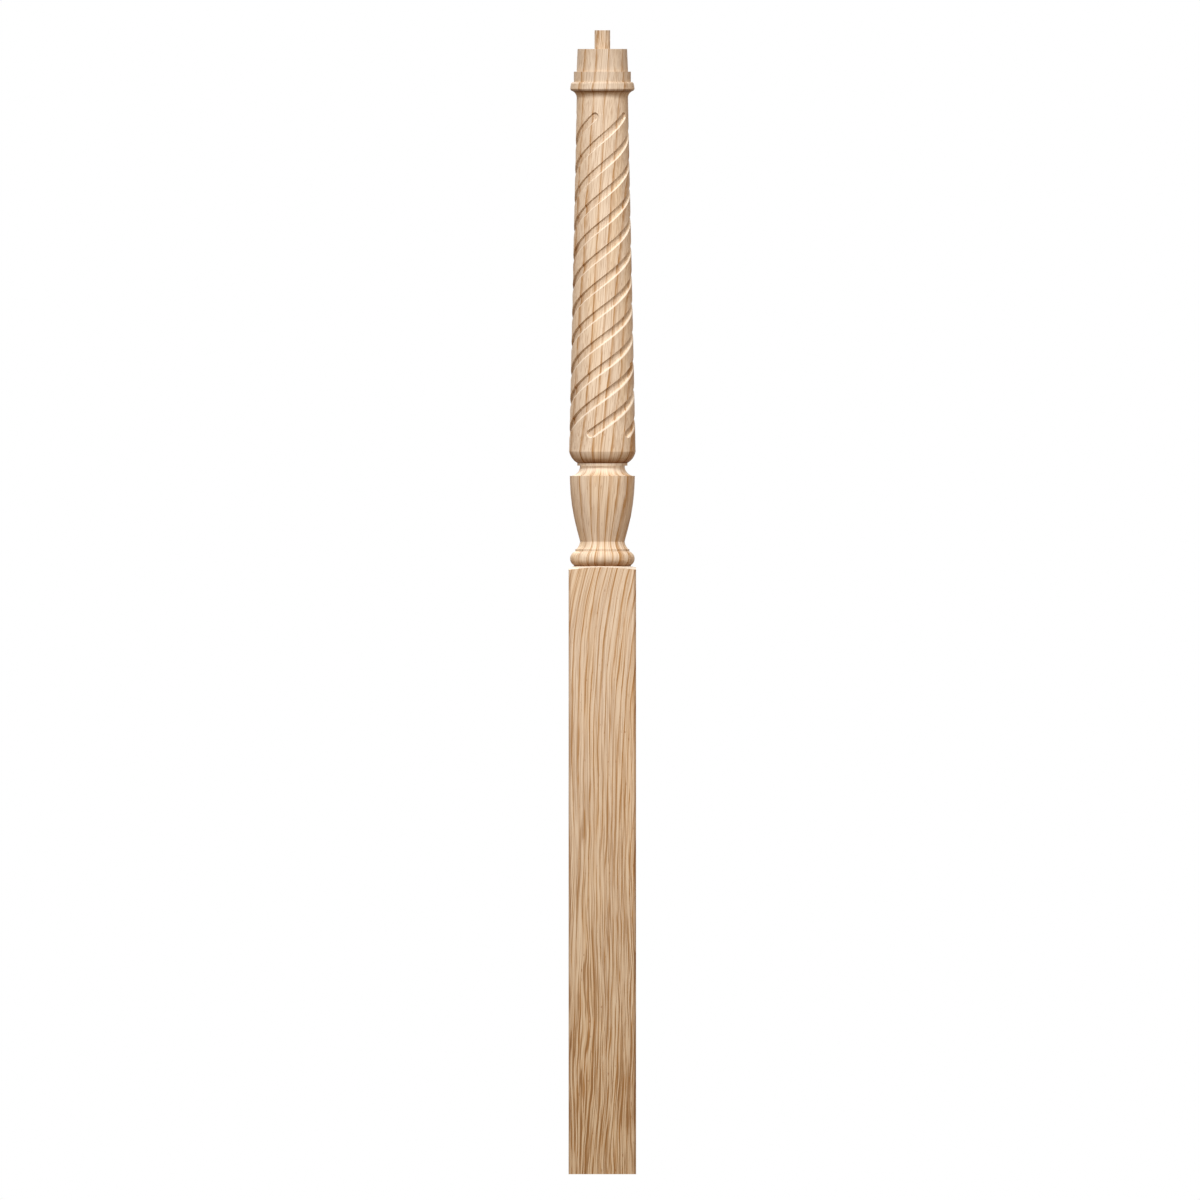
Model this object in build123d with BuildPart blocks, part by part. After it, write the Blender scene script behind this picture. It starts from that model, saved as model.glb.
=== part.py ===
from build123d import *
import os
from math import atan, cos, degrees, radians, sin, sqrt, tan

# Landing newel post turned from one square blank, with a spiral-fluted shaft and a pin top.
# The post stands on its square foot. The origin is the centre of that foot, +Z runs up the post
# and the face that is seen from the front looks along -Y. All sizes are in millimetres.

# Square block at the foot, left at the size of the blank
stock_width = 82.55
block_height = 743.9
corner_easing = 1.5
shoulder_slope = 10.0

# Bead above the block, with the quirk below it and the fillet above it
quirk_radius = 34.9
bead_round = 9.45
bead_reach = 39.5
bead_fillet_radius = 33.1
bead_fillet_height = 2.6

# Urn, from its waist up to its rim
waist_cove_height = 9.2
waist_cove_hollow = 0.8
waist_cove_foot_radius = 31.9
waist_radius = 27.2
urn_tail_height = 16.4
urn_tail_radius = 31.5
urn_belly_height = 56.4
urn_belly_radius = 39.6
urn_rim_height = 7.7
urn_rim_radius = 39.8
urn_rim_land = 0.5

# Neck between the urn and the shaft
neck_radius = 27.4
neck_height = 0.6
neck_ring_radius = 30.7
neck_ring_height = 3.3

# Tapered shaft, with the rounded ovolo at its foot
ovolo_height = 14.0
ovolo_swell = 1.9
shaft_height = 432.6
shaft_foot_radius = 40.7
shaft_top_radius = 31.4

# Collar, band, spigot and pin that carry the handrail fitting
collar_cove_height = 9.1
collar_foot_radius = 38.2
collar_lip_height = 2.2
collar_radius = 39.5
collar_face_height = 6.5
collar_face_top_radius = 38.4
collar_crown_height = 1.7
collar_crown_radius = 37.0
band_height = 12.8
band_radius = 34.9
spigot_height = 27.8
spigot_foot_radius = 31.5
spigot_top_radius = 30.3
pin_height = 22.9
pin_radius = 9.525

# Spiral flutes: a steep upper wall, a flat floor and a hollow lower wall with an eased lip.
# Widths are measured square to the flute, from its middle line.
flute_count = 5
flute_lead = 175.6
flute_upper_width = 5.1
flute_floor_upper_width = 3.5
flute_floor_lower_width = 0.7
flute_hollow_radius = 5.0
flute_hollow_angle = 60.0
flute_hollow_flats = 2
flute_lip_width = 2.0
flute_lip_height = 0.6
flute_depth_foot = 3.1
flute_depth_top = 2.5
flute_end_allowance = 0.15
flute_start_height = 22.0
flute_rise = 388.2
flute_start_angle = -111.3

# Heights of the turned members, each standing on the one below
quirk_height = bead_round - sqrt(bead_round**2 - (quirk_radius - bead_reach + bead_round) ** 2)
bead_centre_radius = bead_reach - bead_round
bead_centre_z = block_height + bead_round
bead_top_z = bead_centre_z + sqrt(bead_round**2 - (bead_fillet_radius - bead_centre_radius) ** 2)
bead_fillet_top_z = bead_top_z + bead_fillet_height
waist_z = bead_fillet_top_z + waist_cove_height
urn_tail_z = waist_z + urn_tail_height
urn_belly_z = urn_tail_z + urn_belly_height
urn_rim_z = urn_belly_z + urn_rim_height
neck_cove_radius = urn_rim_radius - urn_rim_land - neck_radius
neck_z = urn_rim_z + neck_cove_radius
neck_ring_z = neck_z + neck_height
ovolo_z = neck_ring_z + neck_ring_height
shaft_z = ovolo_z + ovolo_height
shaft_top_z = shaft_z + shaft_height
collar_z = shaft_top_z + collar_cove_height
collar_face_z = collar_z + collar_lip_height
collar_face_top_z = collar_face_z + collar_face_height
band_z = collar_face_top_z + collar_crown_height
spigot_z = band_z + band_height
spigot_top_z = spigot_z + spigot_height
post_height = spigot_top_z + pin_height

# The turning passes outside the corners of the blank along the block
clear_radius = 0.75 * stock_width
shoulder_drop = (clear_radius - quirk_radius) * tan(radians(shoulder_slope))

# Path of the middle of a flute's floor, at its lower and upper ends
shaft_taper = (shaft_foot_radius - shaft_top_radius) / shaft_height
flute_start_z = shaft_z + flute_start_height
flute_start_surface = shaft_foot_radius - shaft_taper * flute_start_height
flute_end_surface = flute_start_surface - shaft_taper * flute_rise
flute_start_radius = flute_start_surface - flute_depth_foot
flute_end_radius = flute_end_surface - flute_depth_top
flute_cone_angle = degrees(atan((flute_end_radius - flute_start_radius) / flute_rise))

# Both sides of a flute, as (height above its floor, distance from its middle line).
# The hollow is made of narrow flats, which follow its arc to under 0.2 mm.
cutter_height = 2 * flute_depth_foot
upper_side = [
    (0, flute_floor_upper_width),
    (flute_depth_foot, flute_upper_width),
    (cutter_height, flute_upper_width),
]
lower_side = []
for flat in range(flute_hollow_flats + 1):
    turn = radians(flute_hollow_angle * flat / flute_hollow_flats)
    hollow_height = flute_hollow_radius * (1 - cos(turn))
    lower_side.append((hollow_height, flute_floor_lower_width + flute_hollow_radius * sin(turn)))
lip_height, lip_foot_width = lower_side[-1]
lower_side.append((lip_height + flute_lip_height, lip_foot_width + flute_lip_width))
lower_side.append((cutter_height, lip_foot_width + flute_lip_width))

# The round ends stand just clear of the swept faces
end_side = [(height - flute_end_allowance, width + flute_end_allowance) for height, width in upper_side]

with BuildPart() as flute_cutter:
    with BuildLine() as cutter_path:
        Helix(
            pitch=flute_lead,
            height=flute_rise,
            radius=flute_start_radius,
            center=(0, 0, flute_start_z),
            cone_angle=flute_cone_angle,
        )
    start_point = cutter_path.line @ 0
    end_point = cutter_path.line @ 1
    start_plane = Plane(start_point, (start_point.X, start_point.Y, 0), cutter_path.line % 0)
    end_plane = Plane(end_point, (end_point.X, end_point.Y, 0), cutter_path.line % 1)
    with BuildSketch(start_plane):
        with BuildLine():
            mirrored_upper_side = [(height, -width) for height, width in reversed(upper_side)]
            Polyline(*mirrored_upper_side, *lower_side, close=True)
        make_face()
    sweep(path=cutter_path.line, is_frenet=True)

    # Each end is closed by the upper side, turned about the line square to the post
    for plane in (start_plane, end_plane):
        with BuildSketch(plane):
            with BuildLine():
                Polyline((cutter_height, 0), (-flute_end_allowance, 0), *end_side, close=True)
            make_face()
        revolve(axis=Axis(plane.origin, plane.x_dir))

with BuildPart() as newel_post:
    # The square blank, with its long corners eased
    with BuildSketch():
        RectangleRounded(stock_width, stock_width, corner_easing)
    extrude(amount=post_height)

    # What the lathe leaves, from the block's shoulder up to the pin
    with BuildSketch(Plane.XZ) as turning:
        with BuildLine():
            Polyline(
                (0, post_height),
                (0, 0),
                (clear_radius, 0),
                (clear_radius, block_height - shoulder_drop),
                (quirk_radius, block_height),
                (quirk_radius, block_height + quirk_height),
            )
            ThreePointArc(
                (quirk_radius, block_height + quirk_height),
                (bead_reach, bead_centre_z),
                (bead_fillet_radius, bead_top_z),
            )
            Polyline(
                (bead_fillet_radius, bead_top_z),
                (bead_fillet_radius, bead_fillet_top_z),
                (waist_cove_foot_radius, bead_fillet_top_z),
            )
            SagittaArc(
                (waist_cove_foot_radius, bead_fillet_top_z),
                (waist_radius, waist_z),
                waist_cove_hollow,
            )
            rim = Line((urn_rim_radius, urn_rim_z), (urn_belly_radius, urn_belly_z))
            belly = TangentArc(rim @ 1, (urn_tail_radius, urn_tail_z), tangent=rim % 1)
            TangentArc(belly @ 1, (waist_radius, waist_z), tangent=belly % 1)
            Line(rim @ 0, (urn_rim_radius - urn_rim_land, urn_rim_z))
            JernArc(
                start=(urn_rim_radius - urn_rim_land, urn_rim_z),
                tangent=(-1, 0),
                radius=neck_cove_radius,
                arc_size=-90,
            )
            Polyline(
                (neck_radius, neck_z),
                (neck_radius, neck_ring_z),
                (neck_ring_radius, neck_ring_z),
                (neck_ring_radius, ovolo_z),
            )
            SagittaArc(
                (neck_ring_radius, ovolo_z),
                (shaft_foot_radius, shaft_z),
                -ovolo_swell,
            )
            shaft = Line((shaft_foot_radius, shaft_z), (shaft_top_radius, shaft_top_z))
            TangentArc(shaft @ 1, (collar_foot_radius, collar_z), tangent=shaft % 1)
            Polyline(
                (collar_foot_radius, collar_z),
                (collar_radius, collar_face_z),
                (collar_face_top_radius, collar_face_top_z),
                (collar_crown_radius, band_z),
                (band_radius, band_z),
                (band_radius, spigot_z),
                (spigot_foot_radius, spigot_z),
            )
            Line((spigot_foot_radius, spigot_z), (spigot_top_radius, spigot_top_z))
            Polyline(
                (spigot_top_radius, spigot_top_z),
                (pin_radius, spigot_top_z),
                (pin_radius, post_height),
                (0, post_height),
            )
        make_face()
    revolve(axis=Axis.Z, mode=Mode.INTERSECT)

    # The spiral flutes
    with PolarLocations(0, flute_count, start_angle=flute_start_angle):
        add(flute_cutter.part, mode=Mode.SUBTRACT)

newel_post.part.label = "newel_post"

os.makedirs("parts", exist_ok=True)
export_step(newel_post.part, "parts/newel_post.step")
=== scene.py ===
"""Looks of the landing newel post: bare oak, a pale floor and soft studio light."""

import math

import bpy
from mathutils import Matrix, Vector


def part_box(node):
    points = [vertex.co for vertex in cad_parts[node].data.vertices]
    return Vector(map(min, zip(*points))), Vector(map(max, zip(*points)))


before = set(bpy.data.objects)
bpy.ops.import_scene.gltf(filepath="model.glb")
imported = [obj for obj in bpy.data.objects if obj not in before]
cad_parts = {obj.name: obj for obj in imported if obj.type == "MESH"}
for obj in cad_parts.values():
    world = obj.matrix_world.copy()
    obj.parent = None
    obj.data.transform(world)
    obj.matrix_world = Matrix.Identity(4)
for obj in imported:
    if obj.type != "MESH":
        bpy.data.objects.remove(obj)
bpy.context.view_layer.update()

MM = 0.001

# The photograph's framing: a level, distant camera, seen as parallel projection
IMAGE_PIXELS = 1200
POST_PIXELS = 1143.95
AXIS_PIXEL_X = 602.35
FOOT_PIXEL_Y = 1174.2
CAMERA_DISTANCE = 6.0
CAMERA_REACH = 50.0

# Heights on the post, in its own frame
BLOCK_TOP = 743.9 * MM
NECK_COVE = (856.0 * MM, 863.0 * MM)
NECK_RING_TOP = (870.0 * MM, 870.4 * MM)
SHAFT_FOOT = 884.4 * MM
SHAFT_TOP = 1317.0 * MM
COLLAR_FOOT = 1326.0 * MM
PIN_FOOT = 1377.1 * MM
PIN_FADE = 1.0 * MM

# The shaft between its flutes, the drum that the turned part's grain is laid out on, and how far up
# a face looks before it is left off the drum
SHAFT_FOOT_RADIUS = 40.7 * MM
SHAFT_TAPER = -9.3 / 432.6
DRUM_RADIUS = 37 * MM
SMALLEST_SQUARE = 0.000001
FACES_UP = 0.9

# Colours of the wood, and of its painted shade and painted highlights. A tint multiplies what is below it.
STRAW = (0.790, 0.655, 0.505, 1)
PALE = (0.900, 0.790, 0.640, 1)
# Pale tone of the turned part, and also the colour of the painted highlights on the flutes' lips and of the
# painted light on the neck and shoulder
PALE_TONE_AND_HIGHLIGHT = (0.930, 0.870, 0.770, 1)
WARM_TINT = (1.000, 0.930, 0.810, 1)
BAND_BROWN = (0.490, 0.275, 0.108, 1)
PORE_BROWN = (0.380, 0.170, 0.060, 1)
LINE_BROWN = (0.400, 0.230, 0.105, 1)
# Colour of the painted shade at the block's corners, deep in the flutes and in the creases
PAINTED_SHADE_TINT = (0.450, 0.310, 0.190, 1)
FOOT_TINT = (0.860, 0.830, 0.740, 1)
TOP_TINT = (0.900, 0.910, 0.930, 1)

# Rates of the noise in turns a metre, across and along the post
SLOW_WAVES = (14, 3)
QUICK_WAVES = (45, 11)
BROAD_FIBRES = (300, 6)
COARSE_FIBRES = (1150, 11)
FINE_FIBRES = (2100, 30)
PORE_DASHES = (900, 110)
WARM_PATCHES = (60, 5)
SMOOTH_DETAIL = 2.0

# How far the waves and the two flame figures near the foot move the grain, and where those figures are
SLOW_SWAY = 12 * MM
QUICK_SWAY = 6 * MM
OPENING_PLACE = -21.7 * MM
OPENING_WIDTH = 10 * MM
OPENING_SWAY = 6 * MM
OPENING_MIDDLE = 140 * MM
OPENING_TOP = 400 * MM
CLOSING_PLACE = 12.2 * MM
CLOSING_WIDTH = 8 * MM
CLOSING_SWAY = 4 * MM
CLOSING_TOP = 110 * MM

# The pith outside the blank, the swirl under the shoulder and the lean above it. A pair whose name
# ends in PARTS holds a value for the turned part and one for the block.
PITH_DISTANCE = 120 * MM
PITH_DEPTH = 20 * MM
DEPTH_SHARE_PARTS = (0.4, 1.0)
FLOW_START = 112 * MM
SWIRL_FADE = 80 * MM
SWIRL_DEPTHS = (-42 * MM, 10 * MM)
SWIRL_SWAYS = (20 * MM, 5 * MM)
LEAN = 0.05

# Growth bands: their spacing, which grows with height, their uneven places and strengths, and the
# section of each, made of a soft halo and a dark core
BAND_SPACING = 3.6 * MM
SPACING_GROWTH = 3.2 * MM
GROWTH_POWER = 1.5
SPACING_GROWTH_ABOVE = 0.006
TURNED_SPACING = 3.0 * MM
UNEVEN_RATES = (0.8, 2, 8)
UNEVEN_SHIFT = 0.9
BAND_STRENGTHS = (0.75, 1.10)
FADING_RATES = (3.7, 9, 20)
FADING_NOISE = (-0.2, 0.15)
FADING_SHARES = (0.55, 1.0)
HALO_START = 1.0 * MM
HALO_END_PARTS = (4.8 * MM, 3.3 * MM)
HALO_SHARE_PARTS = (1.0, 0.45)
CORE_SECTION = (0.6 * MM, 1.8 * MM)
CORE_SHARE_PARTS = (0.70, 1.05)
BAND_EDGE = (-0.5 * MM, 0.5 * MM)

# Fibre lines and pores: shares of the noise, and where in it they start and end
BROAD_SHARE = 0.20
FINE_SHARE = 0.8
DARK_FIBRES = (-0.03, -0.17)
PALE_FIBRES = (0.03, 0.17)
FIBRE_FADE_TOP = 700 * MM
FIBRES_AT_TOP = 0.42
FIBRES_ON_PIN = 0.5
PORE_NOISE = (0.26, 0.31)
PORE_BANDS = (0.0, 0.5)
PORE_SHARES = (0.5, 1.0)

# Shares of the tones, with those of the painted shade and painted light, and where they lie
TURNED_PALENESS = 0.13
BAND_DARKNESS = 0.95
PATCH_NOISE = (-0.1, 0.25)
PORE_DARKNESS = 0.6
PIN_DARKNESS = 0.12
FOOT_TONE = (780 * MM, -100 * MM)
# Painted shade along the block's long corners, stronger towards its right side, away from the key
CORNER_PAINTED_SHADE = 0.6
CORNER_REACH = (79.1 * MM, 80.1 * MM)
CORNER_PLACES = (-40 * MM, 40 * MM)
CORNER_SHADE_BY_SIDE = (0.6, 1.0)
# Painted shade deep in the flutes
FLUTE_PAINTED_SHADE = 0.2
FLUTE_DEPTH = (1.4 * MM, 3.0 * MM)
# Painted highlight along the flutes' lower lips, where they face up
LIP_PAINTED_HIGHLIGHT = 0.7
LIP_OUTER_DEPTH = (0.05 * MM, 0.2 * MM)
LIP_INNER_DEPTH = (0.8 * MM, 1.6 * MM)
LIP_SLOPE = (0.10, 0.20)
# Painted light on the neck, where the ring's shadow falls, and on the shoulder, which faces up
NECK_PAINTED_LIGHT = 0.45
SHOULDER_PAINTED_LIGHT = 0.75
SHOULDER_SLOPE = (0.90, 0.97)
# Share of the thin lines of painted shade in the creases
THIN_LINE_PAINTED_SHADE = 0.8

# Painted shade at the foot of the bead and of the ovolo and under the collar, as the height that each
# starts at and how far it fades, which is negative to fade down. A thin, darker line of painted shade lies
# in each.
SHADED_CREASES = ((744.5 * MM, 8.5 * MM), (870.2 * MM, 8.0 * MM), (1326.2 * MM, -4.0 * MM))
THIN_SHADE_LINES = ((744.0 * MM, 2.8 * MM), (870.4 * MM, 2.2 * MM), (1326.2 * MM, -1.6 * MM))
CREASE_START = -0.02

# Finish of the wood
ROUGHNESS = 0.60
FIBRE_ROUGHNESS = 0.25
BAND_ROUGHNESS = 0.08
SPECULAR = 0.2
BUMP_STRENGTH = 0.6
BUMP_HEIGHT = 0.3 * MM

# Light: a soft key from above the camera's left, part of it without shadows, a weak one from the
# right, one for the back, which the camera doesn't see, and a dim warm light all round
KEY_PLACE = (-0.42, -2.36, 3.3)
KEY_TARGET = (0, 0, 0.7)
KEY_POWER = 6.0
SHADOWLESS_POWER = 3.4
RIGHT_PLACE = (2.4, -1.6, 1.5)
RIGHT_TARGET = (0, 0, 0.9)
RIGHT_POWER = 0.8
BACK_PLACE = (-0.9, 2.5, 2.6)
BACK_TARGET = (0, 0, 0.7)
BACK_POWER = 4.5
LIGHT_SIZE = 1.2
LIGHT_SPREAD = 44
AMBIENT_COLOUR = (1.0, 0.60, 0.26, 1)
AMBIENT_STRENGTH = 0.31
WHITE = (1, 1, 1, 1)
WHITE_STRENGTH = 1.0

# The floor, the glow that only the camera and reflections see, and what it throws back at the post
FLOOR_RADIUS = 4.0
FLOOR_SIDES = 96
FLOOR_COLOUR = (0.50, 0.49, 0.48, 1)
FLOOR_GLOW = (0.43, 0.46, 0.48, 1)
FLOOR_BOUNCE = (0.30, 0.19, 0.10, 1)

post_low, post_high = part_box("newel_post")
post_height = post_high.z - post_low.z
pixel = post_height / POST_PIXELS


def make_camera():
    """Level camera in front of the post, framed as the photograph is."""
    data = bpy.data.cameras.new("camera")
    data.type = "ORTHO"
    data.ortho_scale = IMAGE_PIXELS * pixel
    data.clip_end = CAMERA_REACH
    camera = bpy.data.objects.new("camera", data)
    centre_x = (IMAGE_PIXELS / 2 - AXIS_PIXEL_X) * pixel
    centre_z = (FOOT_PIXEL_Y - IMAGE_PIXELS / 2) * pixel
    camera.location = (centre_x, -CAMERA_DISTANCE, centre_z)
    camera.rotation_euler = (math.radians(90), 0, 0)
    bpy.context.scene.collection.objects.link(camera)
    bpy.context.scene.camera = camera


def background(tree, colour, strength):
    """Background shader of one colour."""
    node = tree.nodes.new("ShaderNodeBackground")
    node.inputs["Color"].default_value = colour
    node.inputs["Strength"].default_value = strength
    return node.outputs["Background"]


def diffuse(tree, colour):
    """Matt shader of one colour."""
    node = tree.nodes.new("ShaderNodeBsdfDiffuse")
    node.inputs["Color"].default_value = colour
    return node.outputs["BSDF"]


def seen_directly(tree):
    """1 where the camera, a reflection or clear glass looks at it, and 0 for light that falls on things."""
    path = tree.nodes.new("ShaderNodeLightPath")
    camera, glossy, clear = (
        Field(tree, path.outputs[name])
        for name in ("Is Camera Ray", "Is Glossy Ray", "Is Transmission Ray")
    )
    return camera.apply("MAXIMUM", glossy).apply("MAXIMUM", clear)


def choose(tree, share, first, second, output):
    """Mix two shaders into an output node."""
    mix = tree.nodes.new("ShaderNodeMixShader")
    tree.links.new(share.socket, mix.inputs["Fac"])
    tree.links.new(first, mix.inputs[1])
    tree.links.new(second, mix.inputs[2])
    tree.links.new(mix.outputs["Shader"], output.inputs["Surface"])


def make_world():
    """White behind the post, and a dim, warm, even light on it."""
    world = bpy.data.worlds.new("studio")
    bpy.context.scene.world = world
    world.use_nodes = True
    tree = world.node_tree
    tree.nodes.clear()
    output = tree.nodes.new("ShaderNodeOutputWorld")
    ambient = background(tree, AMBIENT_COLOUR, AMBIENT_STRENGTH)
    white = background(tree, WHITE, WHITE_STRENGTH)
    choose(tree, seen_directly(tree), ambient, white, output)


def make_softbox(name, location, target, power, has_shadow=True):
    """Square area light at a place, turned to face a point."""
    data = bpy.data.lights.new(name, "AREA")
    data.shape = "SQUARE"
    data.size = LIGHT_SIZE
    data.energy = power
    data.spread = math.radians(LIGHT_SPREAD)
    data.use_shadow = has_shadow
    light = bpy.data.objects.new(name, data)
    light.location = location
    aim = Vector(target) - Vector(location)
    light.rotation_euler = aim.to_track_quat("-Z", "Y").to_euler()
    bpy.context.scene.collection.objects.link(light)


def make_floor_paint():
    """Pale matt paint with a glow for the camera and reflections, and dimmer for all other light."""
    material = bpy.data.materials.new("floor_paint")
    material.use_nodes = True
    tree = material.node_tree
    tree.nodes.clear()
    output = tree.nodes.new("ShaderNodeOutputMaterial")
    glow = tree.nodes.new("ShaderNodeEmission")
    glow.inputs["Color"].default_value = FLOOR_GLOW
    pale = tree.nodes.new("ShaderNodeAddShader")
    tree.links.new(diffuse(tree, FLOOR_COLOUR), pale.inputs[0])
    tree.links.new(glow.outputs["Emission"], pale.inputs[1])
    dim = diffuse(tree, FLOOR_BOUNCE)
    choose(tree, seen_directly(tree), dim, pale.outputs["Shader"], output)
    return material


def make_floor():
    """Round floor that the post stands on."""
    bpy.ops.mesh.primitive_circle_add(
        vertices=FLOOR_SIDES, radius=FLOOR_RADIUS, fill_type="NGON", location=(0, 0, 0)
    )
    floor = bpy.context.object
    floor.name = "floor"
    floor.data.materials.append(make_floor_paint())


class Field:
    """A number that varies over the surface, built up as math nodes."""

    def __init__(self, tree, socket):
        self.tree = tree
        self.socket = socket

    def apply(self, operation, *others):
        """Result of a math node on this field and others, which may be plain numbers."""
        node = self.tree.nodes.new("ShaderNodeMath")
        node.operation = operation
        for index, value in enumerate((self, *others)):
            set_input(self.tree, node.inputs[index], value)
        return Field(self.tree, node.outputs[0])

    def __add__(self, other):
        return self.apply("ADD", other)

    def __sub__(self, other):
        return self.apply("SUBTRACT", other)

    def __mul__(self, other):
        return self.apply("MULTIPLY", other)

    def __truediv__(self, other):
        return self.apply("DIVIDE", other)

    def __pow__(self, other):
        return self.apply("POWER", other)

    def pick(self, at_zero, at_one):
        """Straight step between two numbers as this field goes from 0 to 1."""
        return self * (at_one - at_zero) + at_zero

    def ramp(self, low, high, at_low=0.0, at_high=1.0):
        """Smooth step from one value to another as this field goes from low to high."""
        node = self.tree.nodes.new("ShaderNodeMapRange")
        node.interpolation_type = "SMOOTHSTEP"
        for name, value in (
            ("Value", self),
            ("From Min", low),
            ("From Max", high),
            ("To Min", at_low),
            ("To Max", at_high),
        ):
            set_input(self.tree, node.inputs[name], value)
        return Field(self.tree, node.outputs["Result"])

    def fall(self, low, high):
        """Smooth step from 1 down to 0 as this field goes from low to high."""
        return self.ramp(low, high, 1.0, 0.0)


def set_input(tree, socket, value):
    """Give a node's input a field or a number."""
    if isinstance(value, Field):
        tree.links.new(value.socket, socket)
    else:
        socket.default_value = value


def components(tree, vector):
    """The three fields that a vector is made of."""
    node = tree.nodes.new("ShaderNodeSeparateXYZ")
    tree.links.new(vector, node.inputs["Vector"])
    return [Field(tree, node.outputs[name]) for name in ("X", "Y", "Z")]


def noise(tree, fields, rates, detail=SMOOTH_DETAIL):
    """Smooth noise about 0 over three fields, each with its own rate."""
    vector = tree.nodes.new("ShaderNodeCombineXYZ")
    for name, field, rate in zip("XYZ", fields, rates):
        tree.links.new((field * rate).socket, vector.inputs[name])
    node = tree.nodes.new("ShaderNodeTexNoise")
    tree.links.new(vector.outputs["Vector"], node.inputs["Vector"])
    node.inputs["Scale"].default_value = 1.0
    node.inputs["Detail"].default_value = detail
    return Field(tree, node.outputs["Fac"]) - 0.5


def random_of(tree, number):
    """Random value from 0 to 1 for each whole number."""
    node = tree.nodes.new("ShaderNodeTexWhiteNoise")
    node.noise_dimensions = "1D"
    tree.links.new(number.socket, node.inputs["W"])
    return Field(tree, node.outputs["Value"])


def blend(tree, share, first, second, blend_type):
    """Colour mix, where share is how much of the second colour there is."""
    node = tree.nodes.new("ShaderNodeMix")
    node.data_type = "RGBA"
    node.blend_type = blend_type
    tree.links.new(share.socket, node.inputs["Factor"])
    for name, colour in (("A", first), ("B", second)):
        socket = next(s for s in node.inputs if s.name == name and s.type == "RGBA")
        if isinstance(colour, tuple):
            socket.default_value = colour
        else:
            tree.links.new(colour, socket)
    return next(s for s in node.outputs if s.type == "RGBA")


class Place:
    """Where a point of the surface lies in the post's own frame, and on which part of the post."""

    def __init__(self, tree):
        coordinates = tree.nodes.new("ShaderNodeTexCoord")
        self.tree = tree
        self.x, self.y, self.z = components(tree, coordinates.outputs["Object"])
        self.up = components(tree, coordinates.outputs["Normal"])[2]
        self.on_block = self.z.apply("LESS_THAN", BLOCK_TOP)
        self.on_turning = self.on_block.pick(1.0, 0.0)
        self.on_pin = self.z.ramp(PIN_FOOT, PIN_FOOT + PIN_FADE)
        self.above_block = (self.z - BLOCK_TOP).apply("MAXIMUM", 0.0)
        self.reach = (self.x * self.x + self.y * self.y).apply("MAXIMUM", SMALLEST_SQUARE) ** 0.5
        self.grain_x, self.grain_y = self.on_drum()

    def on_drum(self):
        """Where the grain is taken from. On the turned part it follows the profile, as if it all lay
        on one drum, except on the pin and on faces that look up."""
        off_drum = self.on_block.apply("MAXIMUM", self.up.apply("GREATER_THAN", FACES_UP))
        off_drum = off_drum.apply("MAXIMUM", self.z.apply("GREATER_THAN", PIN_FOOT))
        stretch = (self.reach ** -1.0) * DRUM_RADIUS * off_drum.pick(1.0, 0.0) + off_drum
        return self.x * stretch, self.y * stretch

    def depth_in_shaft(self):
        """How deep the point lies below the tapered shaft's surface, and 0 off the shaft."""
        on_shaft = self.z.apply("GREATER_THAN", SHAFT_FOOT) * self.z.apply("LESS_THAN", SHAFT_TOP)
        shaft_radius = (self.z - SHAFT_FOOT) * SHAFT_TAPER + SHAFT_FOOT_RADIUS
        return (shaft_radius - self.reach) * on_shaft

    def noise_along(self, across, rates, detail=0.0):
        """Noise over a field across the grain, drawn out along the post."""
        rate_across, rate_along = rates
        fields = (across, self.grain_y, self.z)
        return noise(self.tree, fields, (rate_across, rate_across, rate_along), detail)


def bent(across, place, width):
    """Smooth step from -1 to 1 across a place."""
    step = (across - place) / width
    return step / (step * step + 1.0) ** 0.5


def grain_flow(place):
    """Distance across the grain, which bands, fibre lines and pores all follow."""
    x, y, z = place.grain_x, place.grain_y, place.z

    # Slow and quick waviness, and the two flame figures near the foot
    slow = place.noise_along(x, SLOW_WAVES, SMOOTH_DETAIL)
    quick = place.noise_along(x, QUICK_WAVES, SMOOTH_DETAIL)
    opening = bent(x, OPENING_PLACE, OPENING_WIDTH) * z.ramp(0.0, OPENING_MIDDLE)
    opening = opening * z.fall(OPENING_MIDDLE, OPENING_TOP)
    closing = bent(x, CLOSING_PLACE, CLOSING_WIDTH) * z.fall(0.0, CLOSING_TOP)
    wavy_x = x + slow * SLOW_SWAY + quick * QUICK_SWAY - opening * OPENING_SWAY - closing * CLOSING_SWAY

    # Distance from the pith, which lies outside the blank on its left
    across = wavy_x + PITH_DISTANCE
    along = (y - PITH_DEPTH) * place.on_block.pick(*DEPTH_SHARE_PARTS)
    radius = (across * across + along * along) ** 0.5

    # The grain leans over just under the shoulder, and a little all the way up the turned part
    swirl = ((z - BLOCK_TOP).apply("MINIMUM", 0.0) / SWIRL_FADE).apply("EXPONENT")
    flow = radius - FLOW_START - swirl * place.on_block * y.ramp(*SWIRL_DEPTHS, *SWIRL_SWAYS)
    return flow - place.above_block * LEAN - (z - SHAFT_FOOT).apply("MAXIMUM", 0.0) * LEAN


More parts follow.
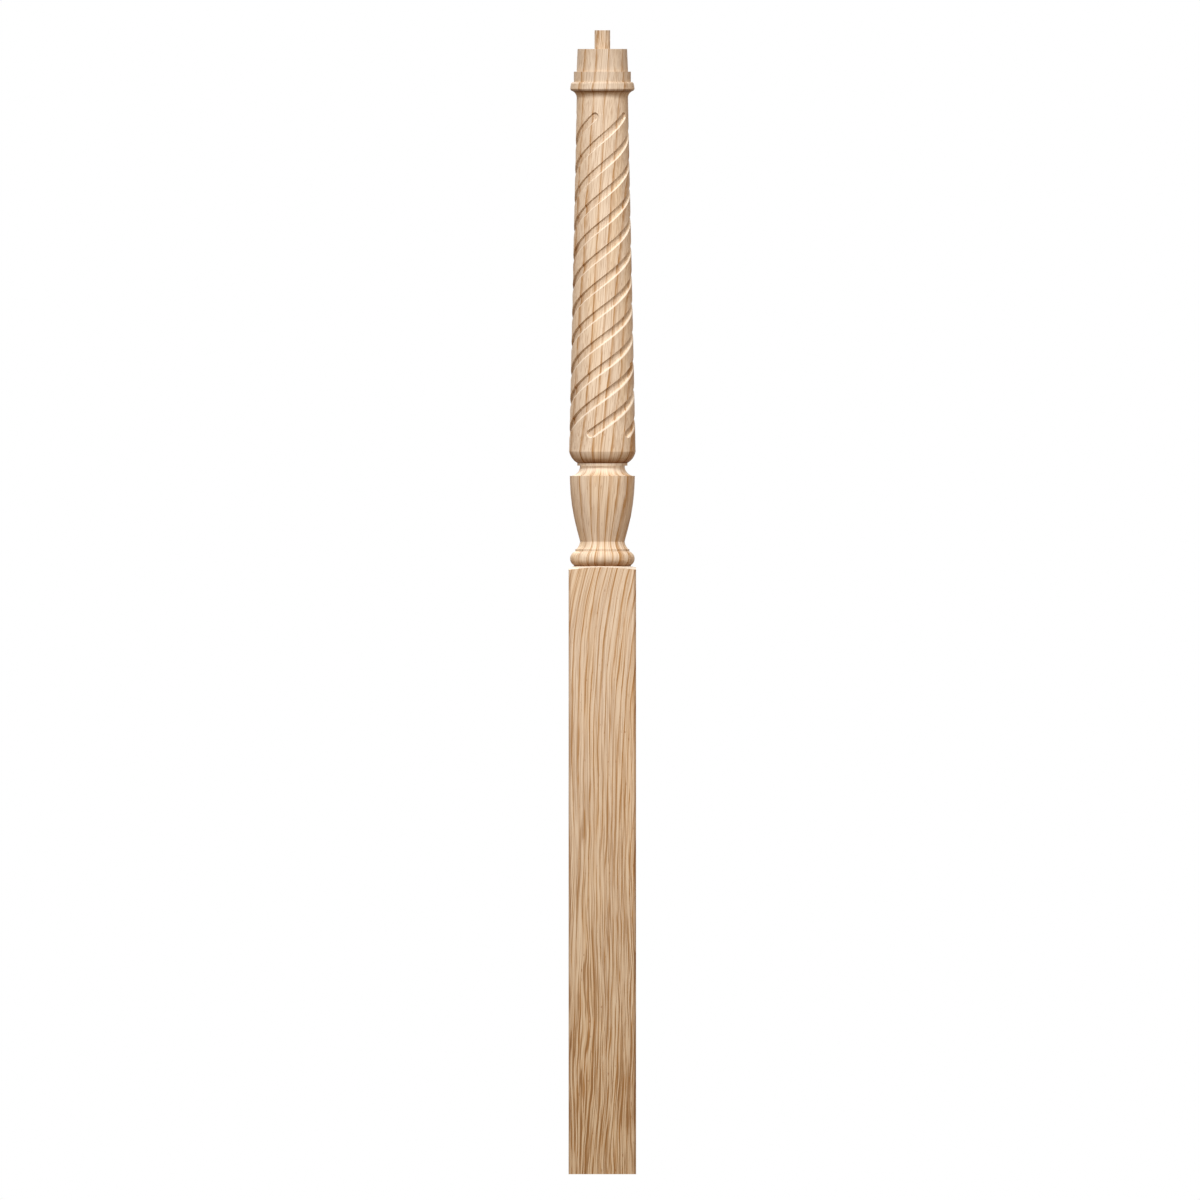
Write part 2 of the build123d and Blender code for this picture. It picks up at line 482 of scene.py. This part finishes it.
def growth_bands(place, flow):
    """One soft brown band a ring, of uneven strength."""
    tree, y, z = place.tree, place.grain_y, place.z
    spacing = (z / BLOCK_TOP).apply("MAXIMUM", 0.0) ** GROWTH_POWER * SPACING_GROWTH
    spacing = spacing + place.above_block * SPACING_GROWTH_ABOVE + BAND_SPACING
    spacing = spacing + place.on_turning * TURNED_SPACING
    phase = flow / spacing
    phase = phase + noise(tree, (phase, z, y), UNEVEN_RATES) * UNEVEN_SHIFT
    ring = phase.apply("FLOOR")
    past_edge = (phase - ring) * spacing
    strength = random_of(tree, ring).pick(*BAND_STRENGTHS)
    fading = noise(tree, (ring, y, z), FADING_RATES).ramp(*FADING_NOISE, *FADING_SHARES)
    halo = past_edge.fall(HALO_START, place.on_block.pick(*HALO_END_PARTS))
    halo = halo * place.on_block.pick(*HALO_SHARE_PARTS)
    core = past_edge.fall(*CORE_SECTION) * place.on_block.pick(*CORE_SHARE_PARTS)
    return (halo + core) * past_edge.ramp(*BAND_EDGE) * strength * fading


def fibre_lines(place, flow):
    """Fine lines along the flow, dark below 0 and pale above it."""
    broad = place.noise_along(flow, BROAD_FIBRES)
    coarse = place.noise_along(flow, COARSE_FIBRES)
    fine = place.noise_along(flow, FINE_FIBRES)
    return broad * BROAD_SHARE + coarse + fine * FINE_SHARE


def open_pores(place, flow, band):
    """Short dashes along the flow, stronger in the bands."""
    return place.noise_along(flow, PORE_DASHES).ramp(*PORE_NOISE) * band.ramp(*PORE_BANDS, *PORE_SHARES)


def figure_tones(place, flow, band, fibre, pores):
    """The wood's figure, as the share, colour and blend type of each layer."""
    patches = place.noise_along(flow, WARM_PATCHES, SMOOTH_DETAIL)
    line_depth = place.z.ramp(0.0, FIBRE_FADE_TOP, 1.0, FIBRES_AT_TOP) + place.on_pin * FIBRES_ON_PIN
    return [
        (place.on_turning * TURNED_PALENESS, PALE_TONE_AND_HIGHLIGHT, "MIX"),
        (band * BAND_DARKNESS, BAND_BROWN, "MIX"),
        (patches.ramp(*PATCH_NOISE), WARM_TINT, "MULTIPLY"),
        (fibre.ramp(*DARK_FIBRES) * line_depth, LINE_BROWN, "MIX"),
        (fibre.ramp(*PALE_FIBRES) * line_depth, PALE, "MIX"),
        (pores * PORE_DARKNESS, PORE_BROWN, "MIX"),
    ]


def stretch_tones(place):
    """Tones of the pin, of all from the collar up, and of the foot, in the same form."""
    return [
        (place.on_pin * PIN_DARKNESS, LINE_BROWN, "MIX"),
        (place.z.apply("GREATER_THAN", COLLAR_FOOT), TOP_TINT, "MULTIPLY"),
        (place.z.ramp(*FOOT_TONE), FOOT_TINT, "MULTIPLY"),
    ]


def painted_crease_shade(z, creases):
    """Share of painted shade: 1 where a crease starts, and less over the distance that it fades."""
    total = None
    for edge, fade in creases:
        away = (z - edge) / fade
        line = away.fall(0.0, 1.0) * away.apply("GREATER_THAN", CREASE_START)
        total = line if total is None else total + line
    return total


def painted_light_and_shade_tones(place):
    """Painted light and shade that follow the shape, in the same form: painted shade at the block's long
    corners, in the flutes and in the creases, a painted highlight on the flutes' lips, and painted light on
    the neck and shoulder."""
    # Painted shade at the block's long corners, stronger on the right
    corner = (place.x.apply("ABSOLUTE") + place.y.apply("ABSOLUTE")).ramp(*CORNER_REACH) * place.on_block
    corner = corner * place.x.ramp(*CORNER_PLACES, *CORNER_SHADE_BY_SIDE)
    depth = place.depth_in_shaft()
    # Painted highlight on the flutes' lips, where they face up
    lip = depth.ramp(*LIP_OUTER_DEPTH) * depth.fall(*LIP_INNER_DEPTH) * place.up.ramp(*LIP_SLOPE)
    # Painted light on the neck under the ring, and on the shoulder where it faces up
    neck = place.z.ramp(*NECK_COVE) * place.z.fall(*NECK_RING_TOP)
    shoulder = place.on_block * place.up.ramp(*SHOULDER_SLOPE)
    return [
        (corner * CORNER_PAINTED_SHADE, PAINTED_SHADE_TINT, "MULTIPLY"),
        # Painted shade deep in the flutes
        (depth.ramp(*FLUTE_DEPTH) * FLUTE_PAINTED_SHADE, PAINTED_SHADE_TINT, "MULTIPLY"),
        (lip * LIP_PAINTED_HIGHLIGHT, PALE_TONE_AND_HIGHLIGHT, "MIX"),
        (neck * NECK_PAINTED_LIGHT + shoulder * SHOULDER_PAINTED_LIGHT, PALE_TONE_AND_HIGHLIGHT, "MIX"),
        # Painted shade in the creases, and a thin darker line of painted shade in each
        (painted_crease_shade(place.z, SHADED_CREASES), PAINTED_SHADE_TINT, "MULTIPLY"),
        (painted_crease_shade(place.z, THIN_SHADE_LINES) * THIN_LINE_PAINTED_SHADE, PAINTED_SHADE_TINT, "MULTIPLY"),
    ]


def make_oak():
    """Bare oak: growth bands, fine fibre lines and short open pores, which all follow one flow, with
    painted shade and painted light along the shape.
    """
    material = bpy.data.materials.new("oak")
    material.use_nodes = True
    tree = material.node_tree
    shader = tree.nodes["Principled BSDF"]

    place = Place(tree)
    flow = grain_flow(place)
    band = growth_bands(place, flow)
    fibre = fibre_lines(place, flow)
    pores = open_pores(place, flow, band)

    colour = STRAW
    tones = figure_tones(place, flow, band, fibre, pores) + stretch_tones(place) + painted_light_and_shade_tones(place)
    for share, tone, blend_type in tones:
        colour = blend(tree, share, colour, tone, blend_type)
    tree.links.new(colour, shader.inputs["Base Color"])

    rough = fibre * FIBRE_ROUGHNESS + band * BAND_ROUGHNESS + ROUGHNESS
    tree.links.new(rough.socket, shader.inputs["Roughness"])
    shader.inputs["Specular IOR Level"].default_value = SPECULAR

    bump = tree.nodes.new("ShaderNodeBump")
    bump.inputs["Strength"].default_value = BUMP_STRENGTH
    bump.inputs["Distance"].default_value = BUMP_HEIGHT
    tree.links.new((fibre - pores).socket, bump.inputs["Height"])
    tree.links.new(bump.outputs["Normal"], shader.inputs["Normal"])
    return material


bpy.context.scene.view_settings.view_transform = "Standard"
make_camera()
make_world()
make_softbox("key", KEY_PLACE, KEY_TARGET, KEY_POWER)
make_softbox("key_without_shadow", KEY_PLACE, KEY_TARGET, SHADOWLESS_POWER, has_shadow=False)
make_softbox("right", RIGHT_PLACE, RIGHT_TARGET, RIGHT_POWER)
make_softbox("back", BACK_PLACE, BACK_TARGET, BACK_POWER)
make_floor()

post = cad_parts["newel_post"]
post.data.materials[0] = make_oak()
